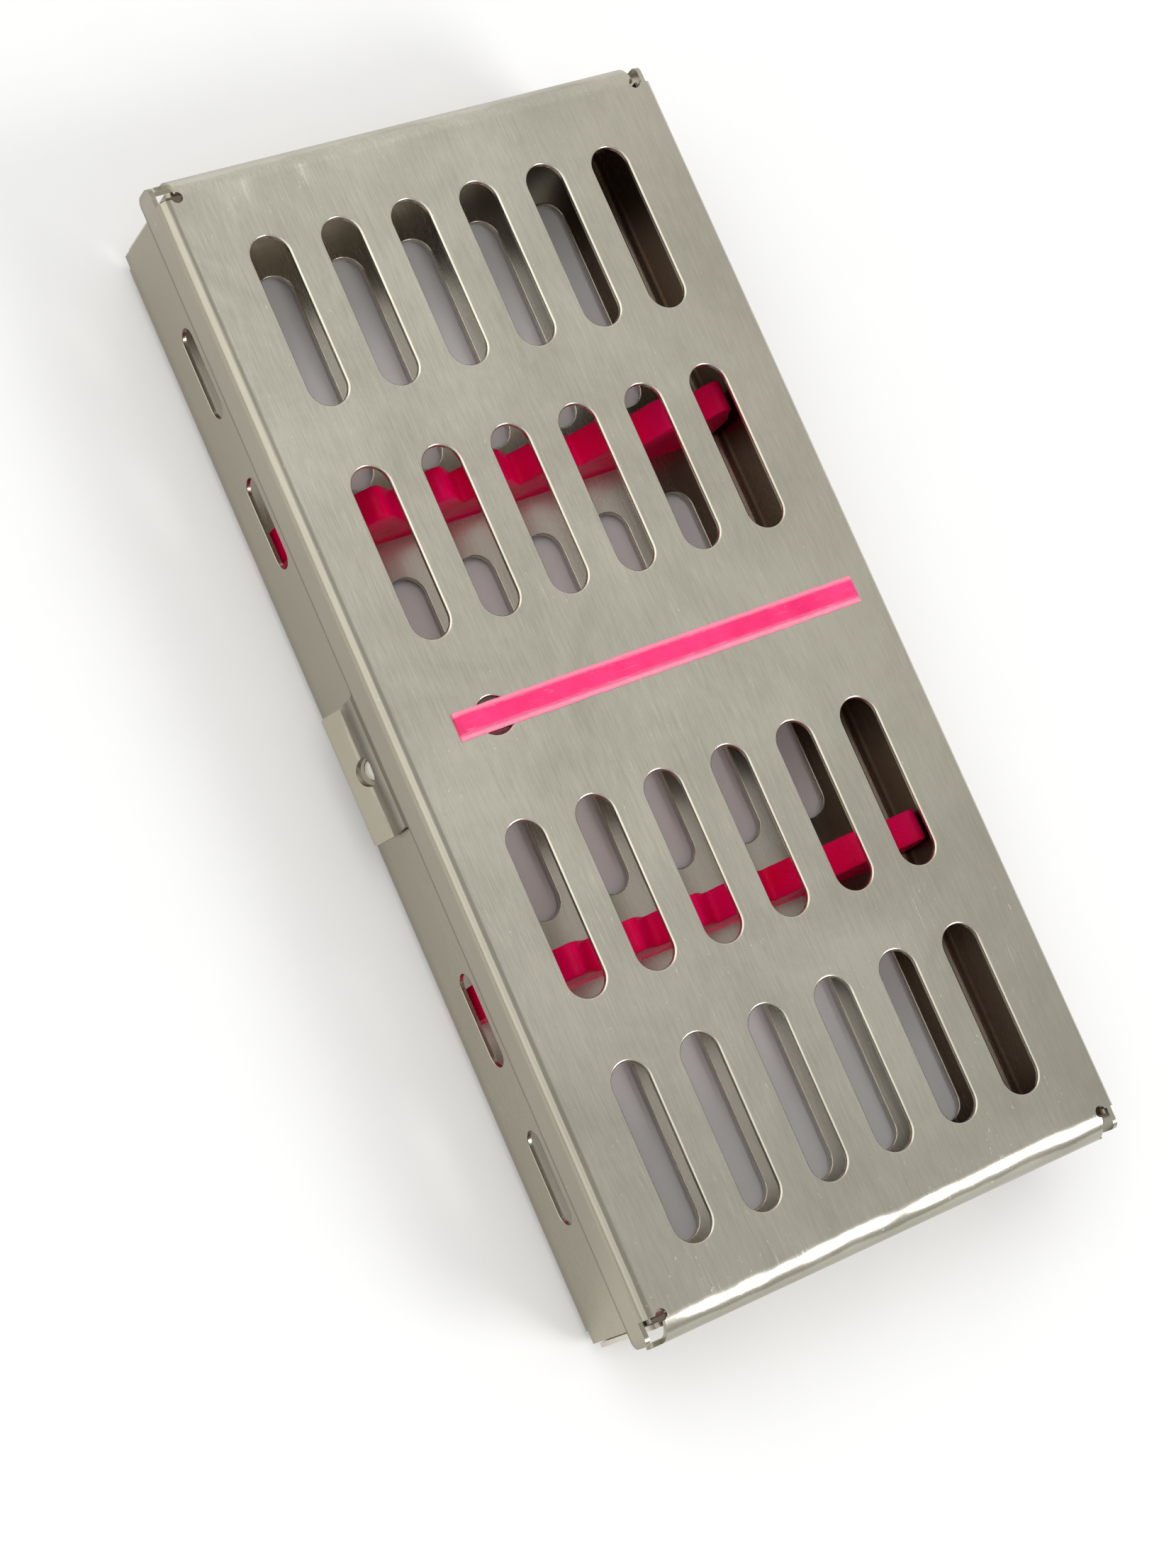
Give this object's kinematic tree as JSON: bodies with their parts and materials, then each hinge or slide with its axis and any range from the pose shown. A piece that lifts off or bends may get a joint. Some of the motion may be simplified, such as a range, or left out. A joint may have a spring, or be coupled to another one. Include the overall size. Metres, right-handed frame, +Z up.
{
  "type": "dental instrument sterilisation cassette",
  "caption": "Slotted stainless steel clamshell case with a hinged lid, sprung latch tongue, wavy silicone rests for instruments and a silicone hold-down strip.",
  "frame": {"origin": "on the surface that the case stands on, under the middle of the case", "axes": "+X along the long side, +Y from the latch at the front to the hinges at the back, +Z up through the lid"},
  "size_m": [0.2014, 0.0991, 0.0273],
  "materials": {
    "satin_steel": "satin brushed along the case",
    "plain_steel": "tumbled",
    "polished_steel": "polished",
    "silicone": "matt, slightly translucent pink silicone"
  },
  "bodies": {
    "pan": {"pan_tray": "satin_steel", "rest_rail_left": "silicone", "rest_rail_right": "silicone", "latch_button": "polished_steel", "hinge_leaf_pan_left": "plain_steel", "hinge_leaf_pan_right": "plain_steel", "hinge_pin_left": "polished_steel", "hinge_pin_right": "polished_steel"},
    "lid": {"lid_plate": "satin_steel", "hold_down_strip": "silicone", "hinge_leaf_lid_left": "plain_steel", "hinge_leaf_lid_right": "plain_steel"},
    "latch": {"latch_tongue": "satin_steel"}
  },
  "joints": [
    {"name": "lid_hinge", "type": "hinge", "parent": "pan", "child": "lid", "pos_m": [0, 0.0482, 0.0172], "axis": [-1, 0, 0], "range_deg": [0, 180]},
    {"name": "latch_flex", "type": "hinge", "parent": "lid", "child": "latch", "pos_m": [-0.0005, -0.0476, 0.018], "axis": [-1, 0, 0], "range_deg": [0, 14], "stiffness_Nm_per_rad": 0.6}
  ]
}
